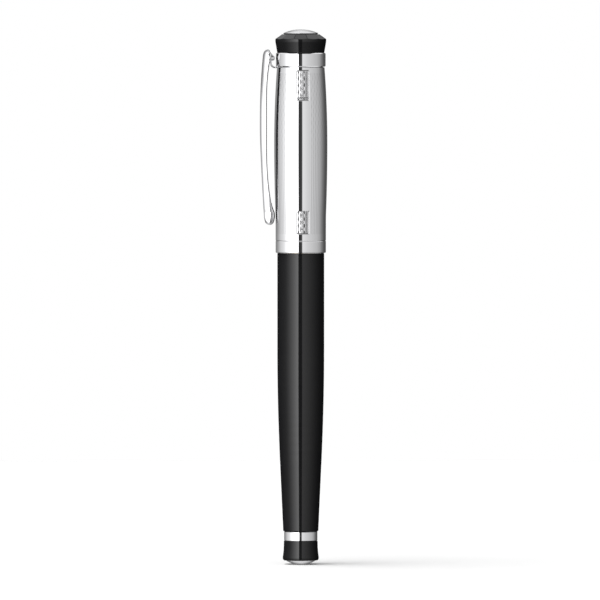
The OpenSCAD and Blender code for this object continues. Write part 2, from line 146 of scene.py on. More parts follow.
def chrome(name, tint):
    """Polished plating: faint soft smears and hairlines around the axis in the gloss.

    Where the mesh's attribute is set, the plating is rougher and painted dark: painted shade in
    cuts, hollows and under parts, and a darker dull ground on the panels.
    """

    def build(tree):
        dull_and_shade = tree.dull_and_shade()
        smears = tree.noise(420, detail=2, stretch=(1, 1, 0.5))
        hairlines = tree.noise(9000, detail=2, stretch=(0.12, 0.12, 1))
        wear = tree.math("MULTIPLY_ADD", hairlines, 0.3, tree.math("MULTIPLY", smears, 0.7))
        gloss = tree.spread(wear, PLATING_ROUGHNESS * 0.5, PLATING_ROUGHNESS * 1.5)
        plating = tree.tint(smears, [c * 0.975 for c in tint], tint)
        return {
            "Roughness": tree.math("MULTIPLY_ADD", dull_and_shade, DULL_ROUGHNESS, gloss),
            "Base Color": tree.tint(dull_and_shade, plating, DULL_SHADED_PLATING),
            "Metallic": 1.0,
            "Normal": tree.bump(hairlines, 0.0002 * MM),
        }

    return surface(name, build)


def turned(name, tint, gloss, ring=9000):
    """Turned metal: fine rings around the axis, with slight changes of tone."""

    def build(tree):
        rings = tree.noise(ring, detail=2, stretch=(0.02, 0.02, 1))
        patches = tree.noise(300, detail=3)
        return {
            "Roughness": tree.spread(rings, gloss * 0.75, gloss * 1.25),
            "Base Color": tree.tint(patches, [c * 0.82 for c in tint], tint),
            "Metallic": 1.0,
            "Normal": tree.bump(rings, 0.0008 * MM),
        }

    return surface(name, build)


def satin_silver(name):
    """Satin silver dome: rings turned about the axis, with soft patches in its gloss, and a painted
    shade where the mesh's attribute is set.
    """

    def build(tree):
        place = tree.places()
        x, y = (tree.add("SeparateXYZ", {"Vector": place}, out=axis) for axis in (0, 1))
        squares = tree.math("ADD", tree.math("MULTIPLY", x, x), tree.math("MULTIPLY", y, y))
        from_axis = tree.math("MULTIPLY", tree.math("SQRT", squares), 9000)
        rings = tree.add("TexNoise", {"W": from_axis, "Scale": 1.0}, noise_dimensions="1D")
        silver = tree.tint(rings, (0.62, 0.62, 0.63), (0.7, 0.7, 0.71))
        return {
            "Roughness": tree.spread(tree.noise(350, detail=2), 0.22, 0.32),
            "Base Color": tree.tint(tree.dull_and_shade(), silver, SHADED_SILVER),
            "Metallic": 1.0,
            "Normal": tree.bump(rings, 0.002 * MM),
        }

    return surface(name, build)


# Lacquer, plastic and fibre ---------------------------------------------------------------

LACQUER_GLARE = 0.5


def lacquer(name):
    """Deep black gloss lacquer, with fine polishing marks in its gloss.

    Upright sides reflect less and less as they turn away. Sloping ones keep their glare. Where the
    mesh's attribute is set, the gloss is taken away, a painted shade.
    """

    def build(tree):
        depth = tree.noise(500, detail=2)
        marks = tree.noise(5000, detail=3, stretch=(1, 1, 0.15))
        facing = tree.add("LayerWeight", {"Blend": 0.5}, out="Facing")
        fall = tree.math("MULTIPLY", facing, tree.math("MULTIPLY_ADD", facing, -9.5, -3.0))
        glare = tree.math("MULTIPLY", tree.math("EXPONENT", fall), LACQUER_GLARE)
        normal = tree.add("NewGeometry", out="Normal")
        slope = tree.math("ABSOLUTE", tree.add("SeparateXYZ", {"Vector": normal}, out="Z"))
        lying = tree.span(slope, 0.3, 0.7, 0.0, 1.0, smooth=True)
        level = tree.between(lying, glare, LACQUER_GLARE)
        # Painted shade: the gloss is taken away where the attribute is set, so the crown's
        # divisions show dark
        gloss_unshaded = tree.math("SUBTRACT", 1.0, tree.dull_and_shade())
        return {
            "Base Color": tree.tint(depth, (0.0045, 0.0045, 0.0048), (0.006, 0.006, 0.0064)),
            "Roughness": tree.spread(marks, 0.03, 0.07),
            "Normal": tree.bump(marks, 0.00006 * MM),
            "Specular IOR Level": tree.math("MULTIPLY", level, gloss_unshaded),
            "IOR": 1.44,
        }

    return surface(name, build)


def moulded(name, colour, gloss, grain=0.002):
    """Moulded plastic: a fine even grain and slightly uneven gloss."""

    def build(tree):
        cells = tree.noise(6000, detail=3)
        clouds = tree.noise(400, detail=2)
        return {
            "Base Color": tree.tint(clouds, [c * 0.85 for c in colour], colour),
            "Roughness": tree.spread(clouds, gloss * 0.85, gloss * 1.15),
            "Normal": tree.bump(cells, grain * MM),
            "IOR": 1.49,
        }

    return surface(name, build)


def fibre(name, colour, dark):
    """Pressed fibre: fine strands along the axis, with a woolly edge to its light."""

    def build(tree):
        strands = tree.noise(7000, detail=4, stretch=(1, 1, 0.08))
        return {
            "Base Color": tree.tint(strands, dark, colour),
            "Roughness": tree.spread(strands, 0.8, 0.95),
            "Normal": tree.bump(strands, 0.03 * MM),
            "Sheen Weight": 0.3,
        }

    return surface(name, build)


CHROME = (0.75, 0.75, 0.76)
BRASS = (0.80, 0.60, 0.28)
STEEL = (0.62, 0.62, 0.64)
# Slot, kind of surface, and what that kind asks for
FINISHES = (
    ("barrel_lacquer", lacquer),
    ("tail_lacquer", lacquer),
    ("crown_lacquer", lacquer),
    ("cap_chrome", chrome, CHROME),
    ("band_chrome", chrome, CHROME),
    ("ring_chrome", chrome, CHROME),
    ("clip_chrome", chrome, (0.56, 0.56, 0.57)),
    ("trim_chrome", chrome, CHROME),
    ("medallion_silver", satin_silver),
    ("bush_brass", turned, BRASS, 0.25),
    ("plug_brass", turned, BRASS, 0.3),
    ("sleeve_brass", turned, BRASS, 0.22),
    ("fastener_steel", turned, STEEL, 0.3),
    ("spring_steel", turned, STEEL, 0.2),
    ("refill_steel", turned, (0.66, 0.67, 0.69), 0.28, 4000),
    ("tip_steel", turned, (0.70, 0.68, 0.62), 0.18),
    ("ball_carbide", turned, (0.35, 0.35, 0.37), 0.15),
    ("grip_plastic", moulded, (0.012, 0.012, 0.013), 0.16, 0.0004),
    ("liner_plastic", moulded, (0.05, 0.05, 0.055), 0.45),
    ("refill_plastic", moulded, (0.03, 0.03, 0.035), 0.4),
    ("filler_fibre", fibre, (0.05, 0.07, 0.25), (0.02, 0.03, 0.10)),
    ("feed_fibre", fibre, (0.82, 0.80, 0.72), (0.55, 0.53, 0.46)),
)
finishes = {slot: kind(slot, *looks) for slot, kind, *looks in FINISHES}
for part in frame["record"]["subparts"]:
    node = frame["nodes"][part["node"]]
    node.data.materials.clear()
    node.data.materials.append(finishes[part["material_slot"]])


# Mesh helpers ---------------------------------------------------------------------------

# How far past a CAD node's box a field is sampled
SKIN_MARGIN = 0.15
REFINEMENTS = 6
# Least squared slope that a field is taken to have, which keeps the moves onto it short
LEAST_SLOPE = 0.05


def mesh_object(name, points, faces, dull_and_shade, body, slot, *replaced, normals=None):
    """A smooth-shaded piece, from points in millimetres, that stands in for CAD nodes."""
    data = bpy.data.meshes.new(name)
    data.from_pydata([tuple(p) for p in np.asarray(points) * MM], [], faces)
    data.shade_smooth()
    data.materials.append(finishes[slot])
    data.attributes.new("dull_and_shade", "FLOAT", "POINT").data.foreach_set("value", np.ravel(dull_and_shade))
    if normals is not None:
        data.normals_split_custom_set_from_vertices(normals)
    piece = bpy.data.objects.new(name, data)
    scene.collection.objects.link(piece)
    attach(piece, body)
    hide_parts(*replaced)
    return piece


def ring_object(name, radius, height, angles, sharp, dull_and_shade, *place):
    """A closed body of rings: a row of radius and height for each ring, a column for each angle.

    The edges along the rings listed in sharp are left sharp. A body that begins and ends on the
    axis is closed there, and any other closes onto its own first ring.
    """
    radius, height, dull_and_shade, _ = np.broadcast_arrays(radius, height, dull_and_shade, angles)
    rows, columns = radius.shape
    points = np.stack([radius * np.cos(angles), radius * np.sin(angles), height], axis=-1)
    row, column = np.meshgrid(np.arange(rows), np.arange(columns), indexing="ij")
    next_row, next_column = (row + 1) % rows, (column + 1) % columns
    faces = np.stack([row * columns + column, row * columns + next_column,
                      next_row * columns + next_column, next_row * columns + column], axis=-1)
    on_axis = not radius[0].any() and not radius[-1].any()
    faces = faces[:-1] if on_axis else faces
    piece = mesh_object(name, points.reshape(-1, 3), faces.reshape(-1, 4).tolist(), dull_and_shade, *place)
    edges = np.empty(len(piece.data.edges) * 2, dtype=int)
    piece.data.edges.foreach_get("vertices", edges)
    first, second = (edges.reshape(-1, 2) // columns).T
    is_sharp = (first == second) & np.isin(first, [r % rows for r in sharp])
    mark = piece.data.attributes.new("sharp_edge", "BOOLEAN", "EDGE")
    mark.data.foreach_set("value", is_sharp)
    if on_axis:
        mesh = bmesh.new()
        mesh.from_mesh(piece.data)
        poles = [v for v in mesh.verts if v.co.xy.length < 1e-9]
        bmesh.ops.remove_doubles(mesh, verts=poles, dist=1e-9)
        mesh.to_mesh(piece.data)
        mesh.free()


def stacked(before, radius, z, after):
    """Radius and height of rings: those of an outline, rows of their own, and another outline."""
    rings = [*before, *zip(radius, z), *after]
    return [np.stack([np.broadcast_to(v, radius.shape[1]) for v in values])
            for values in zip(*rings)]


def smooth_max(a, b, blend):
    """The larger of two fields, with their crossing rounded off over the width blend."""
    return np.maximum(a, b) + np.maximum(blend - np.abs(a - b), 0) ** 2 / (4 * blend)


def smooth_min(a, b, blend):
    return -smooth_max(-a, -b, blend)


def smooth_step(value, low, high):
    t = np.clip((value - low) / (high - low), 0, 1)
    return t * t * (3 - 2 * t)


def plateau(value, low, high, soft):
    """1 between low and high, falling to 0 at both over the width soft."""
    return smooth_step(value, low, low + soft) * smooth_step(-value, -high, soft - high)


def bezier(start, corner, end, steps=12):
    """Points on the curve that leaves start towards corner and arrives at end from it."""
    t = np.linspace(0, 1, steps)[:, None]
    start, corner, end = map(np.array, (start, corner, end))
    return start * (1 - t) ** 2 + 2 * corner * t * (1 - t) + end * t * t


def from_segment(x, z, start, end):
    """Distance in the plane of x and z from the line between two points."""
    along_x, along_z = end[0] - start[0], end[1] - start[1]
    share = ((x - start[0]) * along_x + (z - start[1]) * along_z) / (along_x ** 2 + along_z ** 2)
    share = np.clip(share, 0, 1)
    return np.hypot(x - start[0] - share * along_x, z - start[1] - share * along_z)


def field_slope(field, points, reach=0.01):
    """How fast a field rises along each axis at some points."""
    return np.stack([(field(*(points + reach * unit).T) - field(*(points - reach * unit).T))
                     / (2 * reach) for unit in np.eye(3)], axis=-1)


def field_normals(field, points):
    slope = field_slope(field, points, reach=0.02)
    return slope / np.maximum(np.linalg.norm(slope, axis=1), 1e-6)[:, None]


def skin(field, node, step):
    """Points and faces of the surface where a field is zero around a CAD node.

    They are found on a grid and then moved onto the surface.
    """
    low, high = (np.array(p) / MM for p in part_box(node))
    axes = [np.arange(a, b + s, s)
            for a, b, s in zip(low - SKIN_MARGIN, high + SKIN_MARGIN, step)]
    solid = field(*np.meshgrid(*axes, indexing="ij")) < 0
    cells = [n - 1 for n in solid.shape]
    corners = [solid[tuple(slice(s, s + n) for s, n in zip(shift, cells))]
               for shift in np.ndindex(2, 2, 2)]
    mixed = np.any(corners, axis=0) & ~np.all(corners, axis=0)
    number = np.full(mixed.shape, -1)
    number[mixed] = np.arange(mixed.sum())
    points = np.stack([axis[index] + s / 2
                       for axis, index, s in zip(axes, np.nonzero(mixed), step)], axis=-1)
    for _ in range(REFINEMENTS):
        value = field(*points.T)
        slope = field_slope(field, points)
        squared = np.maximum((slope ** 2).sum(axis=1), LEAST_SLOPE)
        points -= np.clip(value[:, None] * slope / squared[:, None], -step[0], step[0])
    faces = []
    for axis in range(3):
        one, two = [a for a in range(3) if a != axis]
        low_side = np.take(solid, range(solid.shape[axis] - 1), axis)
        high_side = np.take(solid, range(1, solid.shape[axis]), axis)
        crossed = np.stack(np.nonzero(low_side != high_side), axis=-1)
        back_one, back_two = np.eye(3, dtype=int)[one], np.eye(3, dtype=int)[two]
        around = [crossed - back_one - back_two, crossed - back_two, crossed, crossed - back_one]
        quads = np.stack([number[tuple(c.T)] for c in around], axis=-1)
        flip = low_side[tuple(crossed.T)] == (axis == 1)
        quads[flip] = quads[flip][:, ::-1]
        faces += quads.tolist()
    return points, faces


# Cap shell ------------------------------------------------------------------------------

SHELL_LOW, SHELL_HIGH = (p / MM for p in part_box("cap_shell"))
SHELL_Z = SHELL_LOW[2]
LIP_TOP = SHELL_HIGH[2]
SHELL_TOP = LIP_TOP - 0.26
CAP_R = 6.49
CAP_MID_R = SHELL_HIGH[1] - 0.001
CAP_TOP_R = 6.15
# The swell is widest at SWELL_Z, and its curve would be down to CAP_R at SWELL_FOOT_Z
SWELL_Z = SHELL_Z + 25
SWELL_FOOT_Z = SHELL_Z + 6
# The rim is straight up to RIM_Z, and a curve around RIM_CORNER_Z leads into the swell at BLEND_Z
RIM_Z = SHELL_Z + 3
RIM_CORNER_Z = SHELL_Z + 5.1
BLEND_Z = SHELL_Z + 6.5

# Inside of the shell: the cap's and the band's bore, the lip, the bolt's hole and the roof
CAP_BORE_R = 5.75
BAND_BORE_R = 6.05
BAND_Z = SHELL_Z + 3
LIP_R = 5.78
BOLT_HOLE_R = 1.6
ROOF_Z = SHELL_TOP - 0.8
EDGE = 0.12
# Half the width of the notch in the lip for the clip's bracket
NOTCH_HALF = 0.85

# Engraved panels: half their width, and the heights between which they lie
PANEL_HALF = 1.55
PANELS = ((SHELL_Z + 1.8, SHELL_Z + 7.75), (SHELL_Z + 36.2, SHELL_Z + 44.0))
# Their strands; how dull the cuts are, with their dark colour as painted shade; and how dull and
# dark the ground is
PANEL_PITCH = 0.62
PANEL_SWAY = 0.12
PANEL_PERIOD = 1.75
PANEL_DEPTH = 0.05
PANEL_DULL_SHADE = 0.9
PANEL_GROUND = 0.36
# Grooves along both sides of a panel, and bars across it
GROOVE_DEPTH = 0.08
GROOVE_HALF = 0.09
BAR_HALF = 0.17
BARS = (PANELS[0][0] + 0.1, PANELS[1][0] + 0.1, PANELS[1][0] + 0.65, PANELS[1][1] - 0.1)
# Engine-turned fields between them, with this many strands to a half turn
FIELD_STRANDS = 40
FIELD_PITCH = math.pi * CAP_MID_R / FIELD_STRANDS
FIELD_PERIOD = 2.1
FIELD_DEPTH = 0.011
# Painted shade: how dark and dull the fields' cuts are made
FIELD_DULL_SHADE = 0.42
FIELD_LOW, FIELD_HIGH = SHELL_Z + 1.2, SHELL_TOP - 0.6
# The strands stand straight up to the first of these heights, and sway fully at the second
FIELD_SWAY = 0.07
SWAY_LOW, SWAY_HIGH = SHELL_Z + 14, SHELL_Z + 34


def swell_radius(z, end_z, end_r):
    """Radius of the curve that leaves the swell's widest place and reaches end_r at end_z."""
    return CAP_MID_R - (CAP_MID_R - end_r) * ((z - SWELL_Z) / (end_z - SWELL_Z)) ** 2


def shell_radius(z):
    """Radius of the cap's outside before it is engraved."""
    lead = 2 * (RIM_CORNER_Z - RIM_Z)
    bend = lead - (BLEND_Z - RIM_Z)
    root = np.sqrt(np.maximum(lead ** 2 - 4 * bend * (z - RIM_Z), 0))
    climb = np.clip((lead - root) / (2 * bend), 0, 1)
    rim = CAP_R + (swell_radius(BLEND_Z, SWELL_FOOT_Z, CAP_R) - CAP_R) * climb ** 2
    lower = swell_radius(z, SWELL_FOOT_Z, CAP_R)
    upper = swell_radius(z, SHELL_TOP, CAP_TOP_R)
    return np.where(z < BLEND_Z, rim, np.where(z < SWELL_Z, lower, upper))


def strands(across, along, pitch, sway, period):
    """Depth from 0 to 1 between upright strands that sway in turn to and from each other."""
    place = across / pitch
    place = place + sway / pitch * np.sin(2 * math.pi * along / period) * np.cos(math.pi * place)
    return (2 * (place - np.round(place))) ** 2


def groove(distance, half):
    """Depth from 0 to 1 of a rounded groove."""
    return np.clip(1 - (distance / half) ** 2, 0, 1) ** 0.75


def engraving(angle, z):
    """Depth cut into the shell, and how dull it is there, the cuts painted dark as shade; the angle
    is from a panel's middle.
    """
    across = angle * shell_radius(z)
    edge = np.abs(across)
    depth = np.zeros(np.broadcast(angle, z).shape)
    dull_and_shade = depth.copy()

    # A cut deepens the shell, and its bottom is painted dark as shade and made rougher
    def cut(amount, deep, dark):
        np.maximum(depth, amount * deep, out=depth)
        np.maximum(dull_and_shade, dark * smooth_step(amount, 0.45, 0.95), out=dull_and_shade)

    for low, high in PANELS:
        inside = smooth_step(PANEL_HALF - edge, -0.04, 0.04) * plateau(z, low, high, 0.1)
        weave = strands(across, z - low, PANEL_PITCH, PANEL_SWAY, PANEL_PERIOD)
        cut(inside * weave, PANEL_DEPTH, PANEL_DULL_SHADE)
        np.maximum(dull_and_shade, PANEL_GROUND * inside, out=dull_and_shade)
        sides = ((z > low) & (z < high)) * groove(edge - PANEL_HALF, GROOVE_HALF)
        cut(sides, GROOVE_DEPTH, PANEL_DULL_SHADE)
    for bar in BARS:
        cut((edge < PANEL_HALF) * groove(z - bar, BAR_HALF), GROOVE_DEPTH, PANEL_DULL_SHADE)
    field = smooth_step(edge, PANEL_HALF + 0.15, PANEL_HALF + 0.6)
    field = field * plateau(z, FIELD_LOW, FIELD_HIGH, 0.8)
    sway = FIELD_SWAY * smooth_step(z, SWAY_LOW, SWAY_HIGH)
    waves = strands(angle * CAP_MID_R, z, FIELD_PITCH, sway, FIELD_PERIOD)
    cut(field * waves, FIELD_DEPTH, FIELD_DULL_SHADE)
    return depth, dull_and_shade


def build_shell():
    # Seven columns to a strand of the fields, and finer ones over each panel
    half_columns = 7 * FIELD_STRANDS
    panel_columns = math.ceil((PANEL_HALF + 0.1) / CAP_R * half_columns / math.pi)
    panel_angle = math.pi * panel_columns / half_columns
    fine = np.linspace(-panel_angle, panel_angle, 64, endpoint=False)
    plain = math.pi * np.arange(panel_columns, half_columns - panel_columns) / half_columns
    half_turn = np.concatenate([fine, plain])
    angles = np.concatenate([half_turn, half_turn + math.pi]) - math.pi / 2
    from_panel = np.arctan(np.tan(angles + math.pi / 2))
    levels = (SHELL_Z + 0.15, *PANELS[0], PANELS[1][0], SHELL_TOP)
    spans = zip(levels, levels[1:], (12, 60, 170, 83))
    z = [np.linspace(low, high, rows, endpoint=False) for low, high, rows in spans]
    z = np.concatenate([*z, [SHELL_TOP]])[:, None]
    depth, dull_and_shade = engraving(from_panel, z)
    notch = (np.abs(np.sin(angles)) * LIP_R < NOTCH_HALF) & (np.cos(angles) < 0)
    lip_z = np.where(notch, SHELL_TOP, LIP_TOP)
    inside = [
        (CAP_TOP_R, np.where(notch, SHELL_TOP, LIP_TOP - EDGE)), (CAP_TOP_R - EDGE, lip_z),
        (LIP_R, lip_z), (LIP_R, SHELL_TOP), (BOLT_HOLE_R, SHELL_TOP), (BOLT_HOLE_R, ROOF_Z),
        (CAP_BORE_R, ROOF_Z), (CAP_BORE_R, BAND_Z), (BAND_BORE_R, BAND_Z), (BAND_BORE_R, SHELL_Z),
        (CAP_R - EDGE, SHELL_Z),
    ]
    radius, height = stacked([], shell_radius(z) - depth, z, inside)
    dull_and_shade = np.concatenate([dull_and_shade, np.zeros((len(inside), len(angles)))])
    sharp = [0, *range(len(z), len(radius))]
    ring_object("cap_shell_engraved", radius, height, angles, sharp, dull_and_shade,
                "cap", "cap_chrome", "cap_shell")


# Clip -----------------------------------------------------------------------------------

PIN_X, PIN_Z = -7.38, SHELL_TOP + 2.6
CLIP_X = -8.0
CLIP_TIP_Z = SHELL_Z + 4.0
CLIP_TOP_Z = PIN_Z + 2.34
FOOT_X, FOOT_Z = -6.7, SHELL_Z + 6.8

# Distance from CLIP_X of the clip's outer face, and height
CLIP_FACE = np.concatenate([
    bezier((0, CLIP_TIP_Z), (1.3, CLIP_TIP_Z), (1.53, CLIP_TIP_Z + 2.1)),
    bezier((1.58, CLIP_TIP_Z + 3), (2.57, CLIP_TIP_Z + 20), (2.57, CLIP_TIP_Z + 25)),
    bezier((2.57, PIN_Z - 16), (2.57, PIN_Z - 7.4), (1.83, PIN_Z + 0.2)),
    bezier((1.78, PIN_Z + 0.7), (1.5, CLIP_TOP_Z), (0.5, CLIP_TOP_Z)),
])
# The x of its inner side, and height
CLIP_INSIDE = np.concatenate([
    bezier((-7.3, CLIP_TIP_Z), (FOOT_X + 0.1, CLIP_TIP_Z + 1.4), (FOOT_X, FOOT_Z)),
    bezier((FOOT_X - 0.05, FOOT_Z + 0.5), (-8.7, FOOT_Z + 4.6), (-8.86, FOOT_Z + 17.5)),
    bezier((-8.86, PIN_Z - 12), (-8.86, PIN_Z - 5.5), (-8.1, PIN_Z - 1.3)),
    bezier((-8.0, PIN_Z - 1.0), (-7.95, PIN_Z), (-7.9, PIN_Z + 1.2)),
    bezier((-7.9, PIN_Z + 1.3), (-7.95, CLIP_TOP_Z - 0.3), (-8.3, CLIP_TOP_Z)),
])
# Half its width at the inner side, and height
CLIP_HALF = np.array([(1.15, CLIP_TIP_Z), (1.5, PIN_Z - 18), (1.5, PIN_Z - 8), (1.4, PIN_Z - 1)])
# How much tighter than a circle its outer face is rounded, and height
CLIP_CROWN = np.array([(1.0, CLIP_TIP_Z), (1.3, CLIP_TIP_Z + 8), (1.3, PIN_Z - 14),
                       (1.0, PIN_Z - 3)])
CLIP_DRAFT = math.tan(math.radians(14))
CLIP_WALL = 0.5
CREST_BLEND = 0.75
FOOT_BULGE = 0.45
LUG_R = 0.62
LUG_HALF = 1.38
LUG_DRAFT = math.tan(math.radians(4))
NECK = (PIN_X - 0.75, PIN_Z + 0.95)
NECK_R = LUG_R - 0.1
PIN_HOLE_R = 0.28
PIN_CLEARANCE = 0.03
EYE_HALF = 0.85
# The gap between the lugs reaches from EYE_GAP_X inwards, and the head is closed above HEAD_Z
EYE_GAP_X = -8.4
HEAD_Z = CLIP_TOP_Z - 0.6
# How dark the foot's inner side and the head's outer edge are painted, as shade, with rougher
# plating
TOE_DULL_SHADE = 0.25
BROW_DULL_SHADE = 0.6


def at_height(outline, z):
    """What an outline gives at the heights z."""
    return np.interp(z, outline[:, 1], outline[:, 0])


def foot_share(z):
    """From 0 above the clip's foot to 1 in it."""
    return smooth_step(-z, -FOOT_Z - 5, -FOOT_Z + 1)


def past_sides(x, y, z):
    """How far a place is outside the clip's drafted sides."""
    return np.abs(y) - at_height(CLIP_HALF, z) + CLIP_DRAFT * (at_height(CLIP_INSIDE, z) - x)


def past_inside(x, y, z):
    """How far a place is beyond the clip's inner side, which bulges at the foot."""
    return x - at_height(CLIP_INSIDE, z) + foot_share(z) * FOOT_BULGE * y ** 2


def clip_channel(x, y, z):
    """Negative inside the hollow of the clip."""
    floor = CLIP_X - at_height(CLIP_FACE, z) + CLIP_WALL + 0.12 * y ** 2
    hollow = smooth_max(past_sides(x, y, z) + CLIP_WALL, floor - x, 0.25)
    ends = np.maximum(FOOT_Z + 3 - z, z - HEAD_Z)
    return smooth_max(hollow, ends * 0.7, 0.3)


def clip_field(x, y, z):
    """Negative inside the clip: a crowned channel with drafted sides, a ball foot and two lugs."""
    crowned = y * at_height(CLIP_CROWN, z)
    crest = np.where(x < CLIP_X, np.hypot(x - CLIP_X, crowned), np.abs(crowned))
    crest = crest - at_height(CLIP_FACE, z)
    ends = np.maximum(CLIP_TIP_Z - z, z - CLIP_TOP_Z)
    arm = smooth_max(smooth_max(crest, past_sides(x, y, z), CREST_BLEND), ends, 0.8)
    arm = smooth_max(arm, past_inside(x, y, z), 0.45 + 0.5 * foot_share(z))
    from_pin = np.hypot(x - PIN_X, z - PIN_Z)
    lugs = smooth_min(from_pin - LUG_R, from_segment(x, z, NECK, (PIN_X, PIN_Z)) - NECK_R, 0.3)
    lugs = smooth_max(lugs, np.abs(y) - LUG_HALF + LUG_DRAFT * (PIN_X + LUG_R - x), 0.22)
    body = smooth_min(arm, lugs, 0.25)
    body = smooth_max(body, -clip_channel(x, y, z), 0.12)
    gap = smooth_max(np.abs(y) - EYE_HALF, np.maximum(EYE_GAP_X - x, z - HEAD_Z), 0.2)
    body = smooth_max(body, -smooth_max(gap, PIN_Z - 3 - z, 0.2), 0.1)
    return smooth_max(body, PIN_HOLE_R - from_pin, 0.06)


def build_clip():
    points, faces = skin(clip_field, "clip_arm", (0.06, 0.06, 0.12))
    x, y, z = points.T
    # Painted shade, with rougher plating: the back facing the cap, the hollow channel, the foot's
    # inner side and the head's outer edge are darkened
    beyond = past_inside(x, y, z)
    toe = TOE_DULL_SHADE * foot_share(z) * smooth_step(beyond, -0.9, -0.7)
    back = smooth_step(beyond, -0.2, -0.12) * smooth_step(z, CLIP_TIP_Z + 0.8, CLIP_TIP_Z + 2)
    back = back * np.maximum(smooth_step(-z, -PIN_Z + 1.2, -PIN_Z + 2), np.abs(y) < EYE_HALF + 0.1)
    hollow = smooth_step(-clip_channel(x, y, z), -0.1, 0.02)
    from_face = x - CLIP_X + at_height(CLIP_FACE, z)
    brow = smooth_step(z, PIN_Z - 14, PIN_Z - 4) * smooth_step(-from_face, -1.5, -0.15)
    dull_and_shade = np.maximum.reduce([back, hollow, toe, BROW_DULL_SHADE * brow])
    mesh_object("clip_polished", points, faces, dull_and_shade, "clip", "clip_chrome", "clip_arm",
                normals=field_normals(clip_field, points))


# The bracket: a washer, and a tongue that leaves it, bends up and rolls around the pin.
# TONGUE_X is its outer side where it rises.
SHEET = 0.4
WASHER_R = 5.7
EYE_R = 0.575
TONGUE_X = PIN_X - EYE_R
TONGUE_HALF = 0.8
TONGUE_START_X = -3
BEND_R = 1.35


def bracket_field(x, y, z):
    """Negative inside the clip's sheet washer, its gooseneck and its eye."""
    from_axis = np.hypot(x, y)
    from_pin = np.hypot(x - PIN_X, z - PIN_Z)
    bend_x, bend_z = TONGUE_X + BEND_R, SHELL_TOP + BEND_R
    level = np.abs(z - SHELL_TOP - SHEET / 2) - SHEET / 2
    washer = np.maximum(from_axis - WASHER_R, BOLT_HOLE_R - from_axis)
    washer = smooth_max(washer, level, 0.05)
    flat = np.maximum(level, np.maximum(bend_x - x, x - TONGUE_START_X))
    elbow = np.abs(np.hypot(x - bend_x, z - bend_z) - BEND_R + SHEET / 2) - SHEET / 2
    elbow = np.maximum(elbow, np.maximum(x - bend_x, z - bend_z))
    rise = np.abs(x - TONGUE_X - SHEET / 2) - SHEET / 2
    rise = np.maximum(rise, np.maximum(bend_z - z, z - PIN_Z))
    tongue = np.minimum(np.minimum(flat, elbow), smooth_min(rise, from_pin - EYE_R, 0.1))
    tongue = smooth_max(tongue, np.abs(y) - TONGUE_HALF + LUG_DRAFT * (PIN_X - x), 0.14)
    return np.maximum(np.minimum(washer, tongue), PIN_HOLE_R + PIN_CLEARANCE - from_pin)


def build_bracket():
    points, faces = skin(bracket_field, "clip_bracket", (0.1, 0.1, 0.08))
    # Painted shade, with rougher plating: along the tongue's width, all but the rising tongue's
    # outer face is darkened under the clip
    dull_and_shade = (points[:, 0] > TONGUE_X + SHEET * 0.8) & (np.abs(points[:, 1]) < TONGUE_HALF - 0.1)
    mesh_object("bracket_rolled", points, faces, dull_and_shade * 1.0, "cap", "clip_chrome", "clip_bracket",
                normals=field_normals(bracket_field, points))


# Crown ----------------------------------------------------------------------------------

RING_BOTTOM = SHELL_TOP + SHEET
RING_TOP = RING_BOTTOM + 3.55
CROWN_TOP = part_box("crown")[1][2] / MM
CROWN_R = 6.58
CROWN_WIDE_Z = CROWN_TOP - 1.6
FACETS = 12
FACET_TURN = -94.5
FACET_IN_R = 4.81
FACET_SLOPE = math.tan(math.radians(35))
DIVISION_HALF = 0.15
DIVISION_DEPTH = 0.05
# Painted shade: how much of the lacquer's gloss the divisions lose, which makes them dark
DIVISION_SHADE = 0.9
# The spigot through the ring, the screw's hole in it, and the medallion's seat
SPIGOT_R = 3.5
SCREW_HOLE_R = 1.45
SCREW_HOLE_TOP = RING_TOP + 2.2
SEAT_R = 4.33
SEAT_Z = CROWN_TOP - 0.6

CROWN_SIDE = np.concatenate([
    [(6.07, RING_TOP)],
    bezier((CROWN_R - 0.02, CROWN_WIDE_Z - 0.3), (CROWN_R, CROWN_WIDE_Z),
           (CROWN_R - 0.03, CROWN_TOP - 1.15)),
    [(CROWN_R - 0.2, CROWN_TOP)],
])

# The medallion: its rim, its body in the seat, and the radius of its dome
RIM_R = 4.52
RIM_TOP = CROWN_TOP + 0.35
MEDALLION_R = 4.3
DOME_R = 10.9


